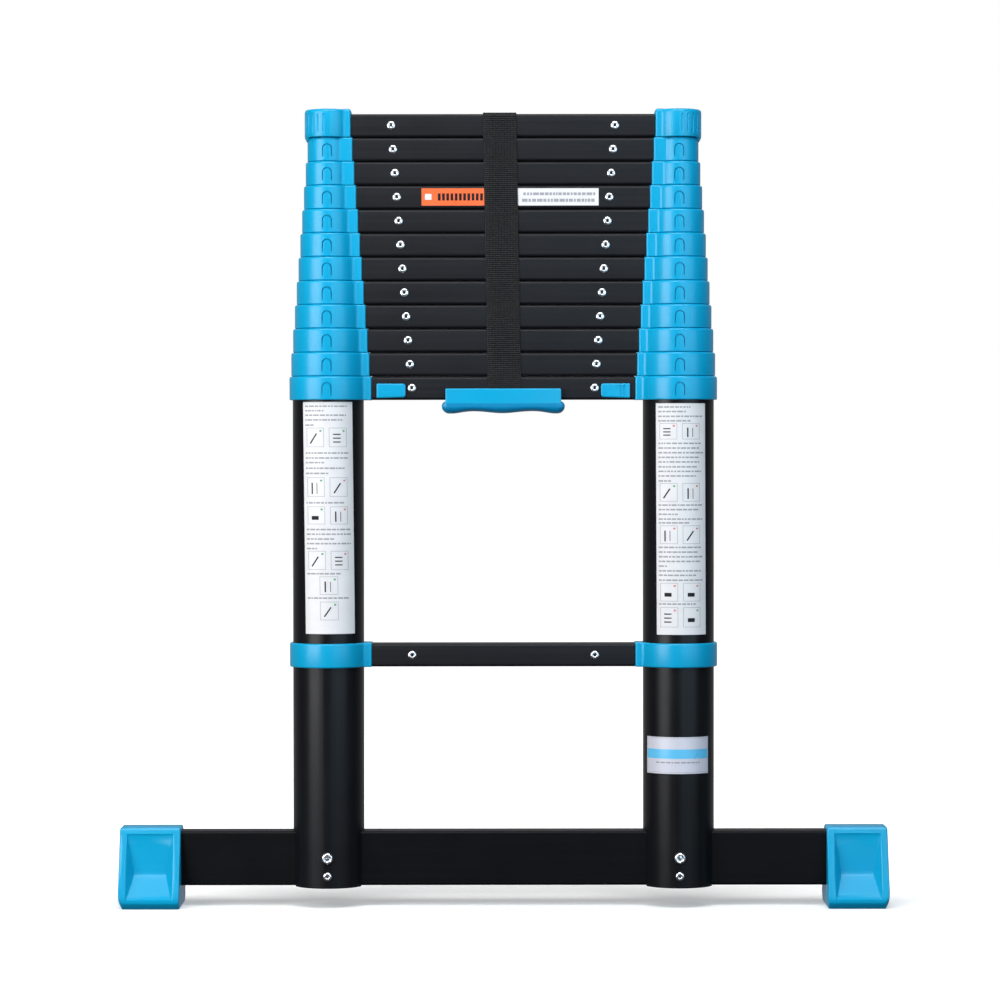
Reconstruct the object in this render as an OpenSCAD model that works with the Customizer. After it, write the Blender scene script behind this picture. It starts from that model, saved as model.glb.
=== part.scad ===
// Telescoping ladder with thirteen rungs, shown closed. Millimetres, Z up, front towards -Y.
// Rungs are numbered from the ground. Rung 1 is clamped half-way up the leg tubes, rung 2 closes
// their tops, and rungs 3 to 13 each ride on a smaller pair of tubes that slides in the pair below.

/* [Overall] */
// Distance from the middle of the ladder to the axis of each column
column_x = 191.5; // [185:0.5:200]
// Height of the lowest collar of the closed stack
stack_z = 553.5; // [545:0.5:580]
// Spacing of the rungs when the ladder is closed
closed_pitch = 26; // [26:0.5:28]
// Spacing of the rungs when the ladder is fully open
open_pitch = 292; // [280:1:300]

/* [Columns] */
// Outer radius of the leg tubes
leg_r = 38.85; // [38.5:0.05:40]
// Step in radius from each nested tube to the next
tube_step = 2.02; // [2:0.01:2.05]
// Wall thickness of every tube
tube_wall = 1.3; // [1.1:0.05:1.35]
// Height of the open lower end of the leg tubes
leg_foot_z = 22.5; // [20:0.5:23]
// Length of each tube that stays below the collar at full reach
tube_overlap = 60; // [50:1:70]

/* [Rungs and collars] */
// Depth of a rung from front to back
rung_depth = 34; // [32:0.5:36]
// Height of a rung
rung_h = 25; // [24:0.1:25.2]
// Wall thickness of a rung
rung_wall = 1.6; // [1.2:0.1:2]
// Radius along the long edges of a rung
rung_edge_r = 3; // [2:0.5:4]
// Height of a collar in the stack
collar_h = 25.6; // [25.4:0.1:25.7]
// Wall thickness of a collar round its tube
collar_wall = 3.5; // [3:0.1:4]
// Distance from a tube's outer surface to the end of its rung
block_reach = 9.25; // [8.5:0.05:10]
// Depth of the block on each collar that carries the rung
block_depth = 35; // [34:0.5:36]
// Height of the clamp that holds rung 1
clamp_h = 26.4; // [26:0.1:30]
// Height of the lower edge of that clamp
clamp_z = 262.2; // [250:0.1:265]
// Radius of the cap on the top section
cap_r = 25.2; // [24:0.1:26]
// Height of that cap
cap_h = 30.8; // [28:0.1:34]

/* [Locks] */
// Radius of a lock pin
pin_r = 4; // [3:0.1:4.2]
// Distance that a lock pin moves into the tube
pin_travel = 5; // [4:0.1:5]
// Length of a thumb tab
tab_w = 31.6; // [28:0.2:31.6]
// Height of a thumb tab
tab_h = 15; // [12:0.5:16]

/* [Stabiliser] */
// Length of the bar between its bare ends
bar_len = 806; // [780:1:810]
// Height of the bar
bar_h = 59.5; // [50:0.5:62]
// Depth of the bar from front to back
bar_d = 30; // [26:1:32]
// Width over both feet
feet_width = 838; // [830:1:840]
// Width of one foot
foot_w = 66.5; // [60:0.5:68]
// Height of a foot
foot_h = 87; // [86:0.5:92]
// Depth of a foot at the ground
foot_d = 86; // [80:1:90]

/* [Carry handle and strap] */
// Width of the handle's plate
plate_w = 126; // [120:1:130]
// Width of the handle's grip
grip_w = 134; // [130:1:138]
// Width of the webbing strap
strap_w = 37; // [34:0.5:38]
// Thickness of the webbing
strap_t = 2; // [1.6:0.1:2.2]

/* [Hidden] */
$fn = 64;
FIRST = 3;
LAST = 13;
SECTIONS = [for (n = [FIRST:LAST]) n];
function two_digits(n) = n < 10 ? str("0", n) : str(n);

BLACK = [0.05, 0.05, 0.055];
SATIN = [0.12, 0.12, 0.13];
BLUE = [0.02, 0.66, 0.87];
STEEL = [0.75, 0.76, 0.78];
NYLON = [0.15, 0.15, 0.16];

stroke = open_pitch - closed_pitch;
glue_gap = 0.1;      // between parts that are fixed to each other
slide_gap = 0.37;    // between parts that slide on each other
lip_h = 3;           // guide lip inside the top of a collar
spigot_len = 54;     // length of a collar's spigot inside the rung
rivet_inset = 43.8;  // from the end of a rung to its rivets
rivet_head_r = 4.9;
rivet_head_h = 1.6;
rivet_r = 2.4;
rivet_hole_r = 1.5;
rivet_len = 9.5;
pin_bore_r = pin_r + 0.4;
pin_clear = 1.35;    // from a drawn lock pin to the tube that it stands in
pin_len = 33;
spring_r = 5.4;
spring_bore_r = 6.2;
spring_len = 20;
insert_h = 80;
bolt_r = 4;
bolt_z = 55.4;
bar_rivet_z = 35.4;
bar_wall = 2;
bar_z = 23.4;
foot_top_y = 19;     // half the depth of a foot at its top
foot_rib = 8;        // width of the ribs beside a foot's recessed panel

// Radius of the tube, height of the collar, and length of half the rung of section n
function tube_r(n) = leg_r - tube_step * (n - 2);
function collar_z(n) = stack_z + closed_pitch * (n - 2);
function tube_foot_z(n) = collar_z(2) - tube_overlap - stroke + closed_pitch * (n - FIRST);
function rung_mid_z(n) = n == 1 ? clamp_z + 12.9 : collar_z(n) + collar_h / 2;
function rung_end_x(n) = column_x - tube_r(n) - block_reach;

tab_x0 = rung_end_x(2) - pin_travel - 0.4 - tab_w;
tab_t = 3;
tab_y = -rung_depth / 2 - 0.3;       // back of the tab, clear of the rung
tab_z = rung_mid_z(2) - 2.5;
stem_x = tab_x0 + 18;
stem_r = 2.2;

plate_y = -rung_depth / 2 - 3.4;     // back of the plate, clear of the strap
plate_t = 4;
plate_z = stack_z - 0.9;
plate_h = 13.2;
grip_h = 14.6;
grip_d = 22;
wave_h = 2.4;                        // depth of the finger waves
wave_pitch = 56;

strap_y = rung_depth / 2 + 0.5;      // inner face of the strap
strap_top_z = collar_z(LAST) + collar_h + 0.5;
strap_foot_z = plate_z + 1;
strap_lean = 5.2;                    // sideways drift of the strap from top to foot
strap_mid_x = -3.7;                  // middle of the strap at the top

// ---------------------------------------------------------------- shared shapes

// The child and its mirror image on the other column
module both_sides() {
    children();
    mirror([1, 0, 0]) children();
}

// Rectangle with round corners, from true arcs
module round_rect(w, h, r) {
    square([w - 2 * r, h], center = true);
    square([w, h - 2 * r], center = true);
    for (x = [-1, 1], y = [-1, 1])
        translate([x * (w / 2 - r), y * (h / 2 - r)]) circle(r);
}

// Prism along X with a rounded section, centred on height z
module bar_along_x(x0, x1, depth, height, r, z) {
    translate([x0, 0, z]) rotate([90, 0, 90])
        linear_extrude(x1 - x0) round_rect(depth, height, r);
}

// Cylinder along X from x0 to x1
module rod_x(x0, x1, r, z) {
    translate([x0, 0, z]) rotate([0, 90, 0]) cylinder(r = r, h = x1 - x0);
}

// Cylinder along Y from y0 to y1
module rod_y(y0, y1, r, x, z) {
    translate([x, y0, z]) rotate([-90, 0, 0]) cylinder(r = r, h = y1 - y0);
}

module tube(r, wall, z0, z1) {
    translate([0, 0, z0]) difference() {
        cylinder(r = r, h = z1 - z0);
        translate([0, 0, -1]) cylinder(r = r - wall, h = z1 - z0 + 2);
    }
}

// Rivet holes at one end of a rung, in the front and the back wall
module rivet_holes(end_x, z) {
    for (side = [-1, 1])
        translate([end_x - rivet_inset, side * rung_depth / 2, z])
            rotate([90, 0, 0]) cylinder(r = rivet_r + glue_gap, h = 2 * rivet_len + 2, center = true);
}

// Blind rivet that points along +Y from a surface at y = 0, with a domed head and an open middle
module rivet(shank_len) {
    sphere_r = (pow(rivet_head_r, 2) + pow(rivet_head_h, 2)) / (2 * rivet_head_h);
    rotate([90, 0, 0]) difference() {
        union() {
            intersection() {
                translate([0, 0, rivet_head_h - sphere_r]) sphere(r = sphere_r);
                cylinder(r = rivet_head_r + 1, h = rivet_head_h + 1);
            }
            translate([0, 0, -shank_len]) cylinder(r = rivet_r, h = shank_len + 0.5);
        }
        translate([0, 0, -3]) cylinder(r = rivet_hole_r, h = rivet_head_h + 4);
    }
}

// Front and back blind rivets at one end of a rung
module rivet_pair(end_x, z) {
    for (turn = [0, 180])
        translate([end_x - rivet_inset, 0, z]) rotate([0, 0, turn])
            translate([0, -rung_depth / 2 - glue_gap, 0]) rivet(rivet_len);
}

// Hollow rung with its rivet holes
module rung(end_x, z) {
    difference() {
        bar_along_x(-end_x, end_x, rung_depth, rung_h, rung_edge_r, z);
        bar_along_x(-end_x - 1, end_x + 1, rung_depth - 2 * rung_wall, rung_h - 2 * rung_wall,
                    rung_edge_r - rung_wall, z);
        both_sides() rivet_holes(end_x, z);
    }
}

// Spigot that fills the end of a rung
module spigot(end_x, z) {
    bar_along_x(end_x - spigot_len, end_x + 1, rung_depth - 2 * rung_wall - 2 * glue_gap,
                rung_h - 2 * rung_wall - 2 * glue_gap, rung_edge_r - rung_wall, z);
}

// Ring round a column with the block that carries the rung, on the right-hand side
module collar_body(ring_r, end_x, z0, h, mid_z) {
    translate([column_x, 0, z0]) cylinder(r = ring_r, h = h);
    translate([end_x, -block_depth / 2, z0]) cube([column_x - end_x, block_depth, h]);
    spigot(end_x, mid_z);
}

// Bore of a lock pin and the wider chamber of its spring
module pin_bores(end_x, z) {
    rod_x(end_x - 10, column_x, pin_bore_r, z);
    rod_x(end_x - 50, end_x - 9.9, spring_bore_r, z);
}

// Lock pin of section n on the right-hand side, drawn clear of its tube
module lock_pin(n) {
    tip_x = column_x - tube_r(n) - pin_clear;
    rod_x(tip_x - pin_len, tip_x, pin_r, rung_mid_z(n));
    rod_x(tip_x - pin_len - 3, tip_x - pin_len, spring_r, rung_mid_z(n));
}

// Closed solid of the spring behind that pin
module lock_spring(n) {
    head_x = column_x - tube_r(n) - pin_clear - pin_len - 3;
    difference() {
        rod_x(head_x - spring_len, head_x, spring_r, rung_mid_z(n));
        rod_x(head_x - spring_len - 1, head_x + 1, spring_r - 1.2, rung_mid_z(n));
    }
}

// ---------------------------------------------------------------- base

// Holes for the bolt and the rivet through the foot of a column
module fastener_holes() {
    rod_y(-leg_r - 5, leg_r + 5, bolt_r + 0.2, column_x, bolt_z);
    rod_y(-leg_r - 5, 0, rivet_r + 0.2, column_x, bar_rivet_z);
}

module leg_tube() {
    difference() {
        translate([column_x, 0, 0])
            tube(leg_r, tube_wall, leg_foot_z, collar_z(2) + collar_h - lip_h - 0.2);
        translate([0, -bar_d / 2 - glue_gap, 0])
            cube([feet_width, bar_d + 2 * glue_gap, bar_z + bar_h + glue_gap]);
        fastener_holes();
        rod_x(0, column_x, pin_bore_r, rung_mid_z(2));
    }
}

module leg_tubes() {
    color(BLACK) both_sides() leg_tube();
}

module leg_insert() {
    difference() {
        translate([column_x, 0, leg_foot_z + 0.5])
            cylinder(r = leg_r - tube_wall - glue_gap, h = insert_h);
        translate([0, -bar_d / 2 - glue_gap, 0])
            cube([feet_width, bar_d + 2 * glue_gap, bar_z + bar_h + glue_gap]);
        fastener_holes();
    }
}

module leg_inserts() {
    color(NYLON) both_sides() leg_insert();
}

module rung_01() {
    color(SATIN) rung(rung_end_x(2), rung_mid_z(1));
}

module rung_02() {
    color(SATIN) difference() {
        rung(rung_end_x(2), rung_mid_z(2));
        both_sides() tab_slot();
    }
}

module collars_01() {
    color(BLUE) both_sides() difference() {
        collar_body(leg_r + collar_wall, rung_end_x(2), clamp_z, clamp_h, rung_mid_z(1));
        translate([column_x, 0, clamp_z - 1]) cylinder(r = leg_r + glue_gap, h = clamp_h + 2);
        rivet_holes(rung_end_x(2), rung_mid_z(1));
    }
}

// Collar of section n, which holds the top of its own tube and guides the next one
module stack_collar(n) {
    z = collar_z(n);
    difference() {
        collar_body(tube_r(n) + collar_wall, rung_end_x(n), z, collar_h, rung_mid_z(n));
        translate([column_x, 0, z - 1])
            cylinder(r = tube_r(n) + glue_gap, h = collar_h - lip_h + 1);
        translate([column_x, 0, z])
            cylinder(r = tube_r(n + 1) + slide_gap, h = collar_h + 1);
        rivet_holes(rung_end_x(n), rung_mid_z(n));
        pin_bores(rung_end_x(n), rung_mid_z(n));
    }
}

module collars_02() {
    color(BLUE) both_sides() difference() {
        stack_collar(2);
        tab_slot();
    }
}

module stabiliser_bar() {
    color(BLACK) difference() {
        bar_along_x(-bar_len / 2, bar_len / 2, bar_d, bar_h, 3, bar_z + bar_h / 2);
        bar_along_x(-bar_len / 2 - 1, bar_len / 2 + 1, bar_d - 2 * bar_wall,
                    bar_h - 2 * bar_wall, 1, bar_z + bar_h / 2);
        both_sides() fastener_holes();
    }
}

// Profile of a foot along the bar: flared at the front and back, chamfered below
module foot_profile() {
    polygon([[-foot_top_y, foot_h], [-foot_d / 2, 12], [-foot_d / 2, 7], [-foot_d / 2 + 6, 0],
             [foot_d / 2 - 6, 0], [foot_d / 2, 7], [foot_d / 2, 12], [foot_top_y, foot_h]]);
}

// Space in front of the recessed panel between the two side ribs of a foot
module panel_recess() {
    polygon([[-foot_d, foot_h - 8], [-foot_top_y - 0.5, foot_h - 8], [-foot_top_y - 1.5, 36],
             [-foot_d / 2 + 1, 10], [-foot_d, 10]]);
}

// Hollow foot on the right-hand end of the bar
module foot() {
    x0 = feet_width / 2 - foot_w;
    difference() {
        translate([x0, 0, 0]) rotate([90, 0, 90]) linear_extrude(foot_w) foot_profile();
        for (side = [0, 1])
            translate([x0 + foot_rib, 0, 0]) mirror([0, side, 0]) rotate([90, 0, 90])
                linear_extrude(foot_w - 2 * foot_rib) panel_recess();
        bar_along_x(x0 - 1, bar_len / 2 + 0.3, bar_d + 0.4, bar_h + 0.4, 3, bar_z + bar_h / 2);
    }
}

module foot_left() {
    color(BLUE) mirror([1, 0, 0]) foot();
}

module foot_right() {
    color(BLUE) foot();
}

// Bolt and rivet through each leg tube, its insert and the bar, and the rivets of rungs 1 and 2
module base_fasteners() {
    color(STEEL) both_sides() {
        rod_y(-leg_r - 3.6, -leg_r - 0.1, 6.5, column_x, bolt_z);
        rod_y(-leg_r - 0.5, leg_r + 3, bolt_r, column_x, bolt_z);
        translate([column_x, leg_r + 3.2, bolt_z]) rotate([90, 0, 0])
            cylinder(r = 7, h = 3, $fn = 6);
        translate([column_x, -leg_r - 0.1, bar_rivet_z]) rivet(leg_r - bar_d / 2 + 4);
        rivet_pair(rung_end_x(2), rung_mid_z(1));
        rivet_pair(rung_end_x(2), rung_mid_z(2));
        lock_spring(2);
    }
}

// ---------------------------------------------------------------- release

// Slot through the front of rung 2 and its spigot for the tab's stem
module tab_slot() {
    translate([stem_x - stem_r - 0.4, -rung_depth / 2 - 1, rung_mid_z(2) - stem_r - 0.4])
        cube([pin_travel + 2 * stem_r + 0.8, rung_depth / 2 + 1, 2 * stem_r + 0.8]);
}

module release_tab() {
    translate([tab_x0 + tab_w / 2, tab_y, tab_z]) rotate([90, 0, 0])
        linear_extrude(tab_t) round_rect(tab_w, tab_h, 3);
    rod_y(tab_y - 0.5, 2, stem_r, stem_x, rung_mid_z(2));
}

module release_tab_left() {
    color(BLUE) mirror([1, 0, 0]) release_tab();
}

module release_tab_right() {
    color(BLUE) release_tab();
}

// Lock pin of rung 2, with the cross hole that takes the tab's stem
module release_pin() {
    difference() {
        lock_pin(2);
        rod_y(-6, 6, stem_r + glue_gap, stem_x, rung_mid_z(2));
    }
}

module lock_pin_left() {
    color(STEEL) mirror([1, 0, 0]) release_pin();
}

module lock_pin_right() {
    color(STEEL) release_pin();
}

// ---------------------------------------------------------------- handle and strap

// Outline of the grip: flat top, round ends and a waved underside
module grip_outline() {
    end_r = grip_h / 2 - 1;
    half = grip_w / 2 - end_r;
    function wave(x) = -grip_h + wave_h * (1 - cos(360 * x / wave_pitch)) / 2;
    polygon(concat(
        [for (x = [-half:4:half]) [x, wave(x)]],
        [for (a = [-80:20:80]) [half + end_r * cos(a), -grip_h / 2 + end_r * sin(a)]],
        [[half, 0], [-half, 0]],
        [for (a = [100:20:260]) [-half + end_r * cos(a), -grip_h / 2 + end_r * sin(a)]]));
}

module carry_handle() {
    color(BLUE) {
        translate([-plate_w / 2, plate_y - plate_t, plate_z]) cube([plate_w, plate_t, plate_h]);
        for (x = [-plate_w / 2, plate_w / 2 - 30])
            translate([x, plate_y - 1, plate_z + 0.1])
                cube([30, -rung_depth / 2 - plate_y + 1, plate_h - 2]);
        translate([0, plate_y - plate_t + grip_d, plate_z]) rotate([90, 0, 0])
            linear_extrude(grip_d) grip_outline();
    }
}

// One hanging run of the strap, seen from the front
module strap_run() {
    half = strap_w / 2;
    rotate([90, 0, 0]) linear_extrude(strap_t, center = true)
        polygon([[strap_mid_x - half, strap_top_z + strap_t],
                 [strap_mid_x + strap_lean - half, strap_foot_z],
                 [strap_mid_x + strap_lean + half, strap_foot_z],
                 [strap_mid_x + half, strap_top_z + strap_t]]);
}

module strap() {
    color(BLACK) {
        for (side = [-1, 1])
            translate([0, side * (strap_y + strap_t / 2), 0]) strap_run();
        translate([strap_mid_x - strap_w / 2, -strap_y - strap_t / 2, strap_top_z])
            cube([strap_w, 2 * strap_y + strap_t, strap_t]);
    }
}

// ---------------------------------------------------------------- moving sections

// Tube of section n with its lock holes, and the guide bush that closes its foot
module section_tube(n) {
    r = tube_r(n);
    z0 = tube_foot_z(n);
    difference() {
        tube(r, tube_wall, z0, collar_z(n) + collar_h - lip_h - 0.2);
        translate([-column_x, 0, 0]) {
            rod_x(0, column_x, pin_bore_r, rung_mid_z(n - 1) - stroke);
            if (n == FIRST) rod_x(0, column_x, pin_bore_r, rung_mid_z(n - 1));
            if (n < LAST) rod_x(0, column_x, pin_bore_r, rung_mid_z(n));
        }
    }
    translate([0, 0, z0 - 5]) cylinder(r = r + tube_step - tube_wall - slide_gap, h = 5);
    translate([0, 0, z0 - 0.1]) cylinder(r = r - tube_wall - glue_gap, h = 10);
}

module section_tubes(n) {
    color(BLACK) both_sides() translate([column_x, 0, 0]) section_tube(n);
}

// Closed cap that ends the top section
module top_cap() {
    z = collar_z(LAST) + 0.3;
    difference() {
        collar_body(cap_r, rung_end_x(LAST), z, cap_h, rung_mid_z(LAST));
        translate([column_x, 0, z - 1])
            cylinder(r = tube_r(LAST) + glue_gap, h = collar_h - lip_h + 0.7);
        rivet_holes(rung_end_x(LAST), rung_mid_z(LAST));
    }
}

module section_collars(n) {
    color(BLUE) both_sides() {
        if (n < LAST) stack_collar(n);
        if (n == LAST) top_cap();
    }
}

// Rivets, and below the top rung the lock pins and their springs
module section_hardware(n) {
    color(STEEL) both_sides() {
        rivet_pair(rung_end_x(n), rung_mid_z(n));
        if (n < LAST) lock_pin(n);
        if (n < LAST) lock_spring(n);
    }
}

// ---------------------------------------------------------------- assembly

leg_tubes();
leg_inserts();
rung_01();
rung_02();
collars_01();
collars_02();
stabiliser_bar();
foot_left();
foot_right();
carry_handle();
base_fasteners();
release_tab_left();
release_tab_right();
lock_pin_left();
lock_pin_right();
strap();
for (n = SECTIONS) {
    section_tubes(n);
    color(SATIN) rung(rung_end_x(n), rung_mid_z(n));
    section_collars(n);
    section_hardware(n);
}
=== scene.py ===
import math
import random

import bmesh
import bpy
from mathutils import Matrix, Vector


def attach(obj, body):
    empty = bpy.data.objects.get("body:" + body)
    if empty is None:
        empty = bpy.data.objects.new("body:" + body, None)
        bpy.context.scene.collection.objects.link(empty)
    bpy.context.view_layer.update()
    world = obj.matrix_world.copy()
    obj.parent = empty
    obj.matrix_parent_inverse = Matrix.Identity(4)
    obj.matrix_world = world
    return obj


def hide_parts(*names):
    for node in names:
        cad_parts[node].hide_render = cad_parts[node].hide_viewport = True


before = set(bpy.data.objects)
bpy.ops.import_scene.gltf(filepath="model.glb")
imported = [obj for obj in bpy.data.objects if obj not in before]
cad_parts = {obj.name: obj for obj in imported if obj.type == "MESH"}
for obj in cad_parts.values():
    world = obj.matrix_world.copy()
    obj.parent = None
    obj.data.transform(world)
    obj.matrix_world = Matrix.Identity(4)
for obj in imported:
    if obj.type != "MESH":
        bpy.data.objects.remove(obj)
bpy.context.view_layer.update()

MM = 0.001
FIRST, LAST = 3, 13

# Sizes and places in millimetres, as the ladder's solids have them. Rungs are numbered from the bottom; rungs
# FIRST to LAST are on the sections that slide.
COLUMN_X = 191.5
STACK_Z = 553.5
PITCH = 26.0
LEG_R = 38.85
TUBE_STEP = 2.02
COLLAR_H = 25.6
COLLAR_WALL = 3.5
BLOCK_REACH = 9.25
BLOCK_HALF = 17.4
CLAMP_Z, CLAMP_H, CLAMP_MID = 262.2, 26.4, 12.9
CAP_R, CAP_H = 25.2, 30.8
LIP_H = 3.0
COLLAR_FIT, COLLAR_ENTRY = 0.15, 0.5
RUNG_HALF_D, RUNG_H, RUNG_WALL = 17.0, 25.0, 1.6
RIVET_INSET = 43.8
BOLT_Z, BAR_RIVET_Z = 55.4, 35.4
PIN_LEN, PIN_R, PIN_HEAD_R, PIN_CLEAR = 33.0, 4.0, 5.4, 1.35
PIN_HEAD_LEN = 3.0
PIN_BORE_R = PIN_R + 0.4
SPRING_LEN = 20.0
FOOT_END_X, FOOT_W, FOOT_RIB = 419.0, 66.5, 8.0
BAR_Z, BAR_H = 23.4, 59.5
TAB_W, TAB_H, TAB_T = 31.6, 15.0, 3.0
PLATE_W, PLATE_FRONT_Y, PLATE_T = 126.0, -24.4, 4.0
PLATE_Z, PLATE_H = 552.6, 13.2
GRIP_W, GRIP_D = 134.0, 22.0
STRAP_W, STRAP_T = 36.6, 1.5
STRAP_FOOT_Z, STRAP_LEAN, STRAP_MID_X = 553.8, 5.2, -3.7


def tube_r(n):
    return LEG_R - TUBE_STEP * (n - 2)


def collar_z(n):
    return STACK_Z + PITCH * (n - 2)


def mid_z(n):
    return CLAMP_Z + CLAMP_MID if n == 1 else collar_z(n) + COLLAR_H / 2


def rung_end(n):
    return COLUMN_X - tube_r(max(n, 2)) - BLOCK_REACH


def body_of_rung(n):
    return "base" if n < FIRST else f"section_{n:02d}"


# ------------------------------------------------------------------ meshes


class Shell:
    """Vertices in millimetres and faces, gathered from several closed forms into one mesh."""

    def __init__(self):
        self.verts, self.faces, self.slots = [], [], []

    def add(self, verts, faces, slot=0):
        start = len(self.verts)
        self.verts += [tuple(v) for v in verts]
        self.faces += [tuple(start + i for i in f) for f in faces]
        self.slots += [slot] * len(faces)

    def loft(self, loops, wrap=False, slot=0):
        """Skin over closed loops of equal length. Its ends are capped, or joined to each other."""
        n = len(loops[0])
        verts = [p for loop in loops for p in loop]
        faces = []
        for a in range(len(loops) if wrap else len(loops) - 1):
            b = (a + 1) % len(loops)
            for i in range(n):
                j = (i + 1) % n
                faces.append((a * n + i, a * n + j, b * n + j, b * n + i))
        if not wrap:
            faces.append(tuple(range(n))[::-1])
            faces.append(tuple(range((len(loops) - 1) * n, len(loops) * n)))
        self.add(verts, faces, slot)

    def lathe(self, profile, place, steps=32, slot=0, shape=None):
        """Turned form. profile holds (radius, height) from axis to axis. place maps (u, v, h) to a point."""
        loops = []
        for k, (r, h) in enumerate(profile[1:-1]):
            loop = []
            for i in range(steps):
                a = 2 * math.pi * i / steps
                s = r * (shape(k, a) if shape else 1)
                loop.append(place(s * math.cos(a), s * math.sin(a), h))
            loops.append(loop)
        n = len(loops)
        verts = [p for loop in loops for p in loop]
        verts += [place(0, 0, profile[0][1]), place(0, 0, profile[-1][1])]
        faces = []
        for a in range(n - 1):
            for i in range(steps):
                j = (i + 1) % steps
                faces.append((a * steps + i, a * steps + j, (a + 1) * steps + j, (a + 1) * steps + i))
        for i in range(steps):
            j = (i + 1) % steps
            faces.append((n * steps, j, i))
            faces.append((n * steps + 1, (n - 1) * steps + i, (n - 1) * steps + j))
        self.add(verts, faces, slot)

    def slab(self, outline, y0, y1):
        """Outline in (x, z), carried along Y."""
        self.loft([[(x, y, z) for x, z in outline] for y in (y0, y1)])

    def rail(self, outline, x0, x1):
        """Outline in (y, z), carried along X."""
        self.loft([[(x, y, z) for y, z in outline] for x in (x0, x1)])

    def mirrored(self):
        """The same forms on both columns."""
        both = Shell()
        both.add(self.verts, self.faces)
        both.add([(-x, y, z) for x, y, z in self.verts], [f[::-1] for f in self.faces])
        both.slots = self.slots * 2
        return both


def along_x(x, z):
    """Placement of a turned part whose axis points along X."""
    return lambda u, v, h: (x + h, u, z + v)


def arc(cx, cy, r, a0, a1, steps):
    """Points of an arc in degrees, both ends included."""
    return [(cx + r * math.cos(math.radians(a0 + (a1 - a0) * i / steps)),
             cy + r * math.sin(math.radians(a0 + (a1 - a0) * i / steps))) for i in range(steps + 1)]


def box(a0, a1, b0, b1):
    """Corners of a rectangle."""
    return [(a0, b0), (a1, b0), (a1, b1), (a0, b1)]


def round_rect(w, h, r, steps=5, cx=0.0, cy=0.0):
    x, y = w / 2 - r, h / 2 - r
    points = []
    for sx, sy, a in ((1, 1, 0), (-1, 1, 90), (-1, -1, 180), (1, -1, 270)):
        points += arc(cx + sx * x, cy + sy * y, r, a, a + 90, steps)
    return points


def to_mesh(name, shell, materials, sharp=32.0):
    mesh = bpy.data.meshes.new(name)
    mesh.from_pydata([(x * MM, y * MM, z * MM) for x, y, z in shell.verts], [], shell.faces)
    mesh.polygons.foreach_set("material_index", shell.slots)
    for m in materials:
        mesh.materials.append(m)
    work = bmesh.new()
    work.from_mesh(mesh)
    bmesh.ops.remove_doubles(work, verts=work.verts, dist=1e-7)
    bmesh.ops.recalc_face_normals(work, faces=work.faces)
    work.to_mesh(mesh)
    work.free()
    mesh.update()
    smooth(mesh, sharp)
    return mesh


def smooth(mesh, sharp):
    mesh.polygons.foreach_set("use_smooth", [True] * len(mesh.polygons))
    mesh.set_sharp_from_angle(angle=math.radians(sharp))


def piece(name, shell, materials, body, stands_for=(), sharp=32.0):
    obj = bpy.data.objects.new(name, to_mesh(name, shell, materials, sharp))
    bpy.context.scene.collection.objects.link(obj)
    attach(obj, body)
    if stands_for:
        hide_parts(*stands_for)
    return obj


def settle(obj, sharp=32.0):
    """Applies the modifiers of obj."""
    bpy.context.view_layer.update()
    graph = bpy.context.evaluated_depsgraph_get()
    mesh = bpy.data.meshes.new_from_object(obj.evaluated_get(graph), depsgraph=graph)
    obj.modifiers.clear()
    obj.data = mesh
    smooth(mesh, sharp)


def carve(obj, shell, operation="DIFFERENCE", sharp=32.0):
    """Cuts shell out of obj, or joins it on."""
    tool = bpy.data.objects.new("tool", to_mesh("tool", shell, [obj.data.materials[0]]))
    bpy.context.scene.collection.objects.link(tool)
    change = obj.modifiers.new("cut", "BOOLEAN")
    change.operation, change.object, change.solver = operation, tool, "EXACT"
    settle(obj, sharp)
    bpy.data.objects.remove(tool)


# ------------------------------------------------------------------ materials


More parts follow.
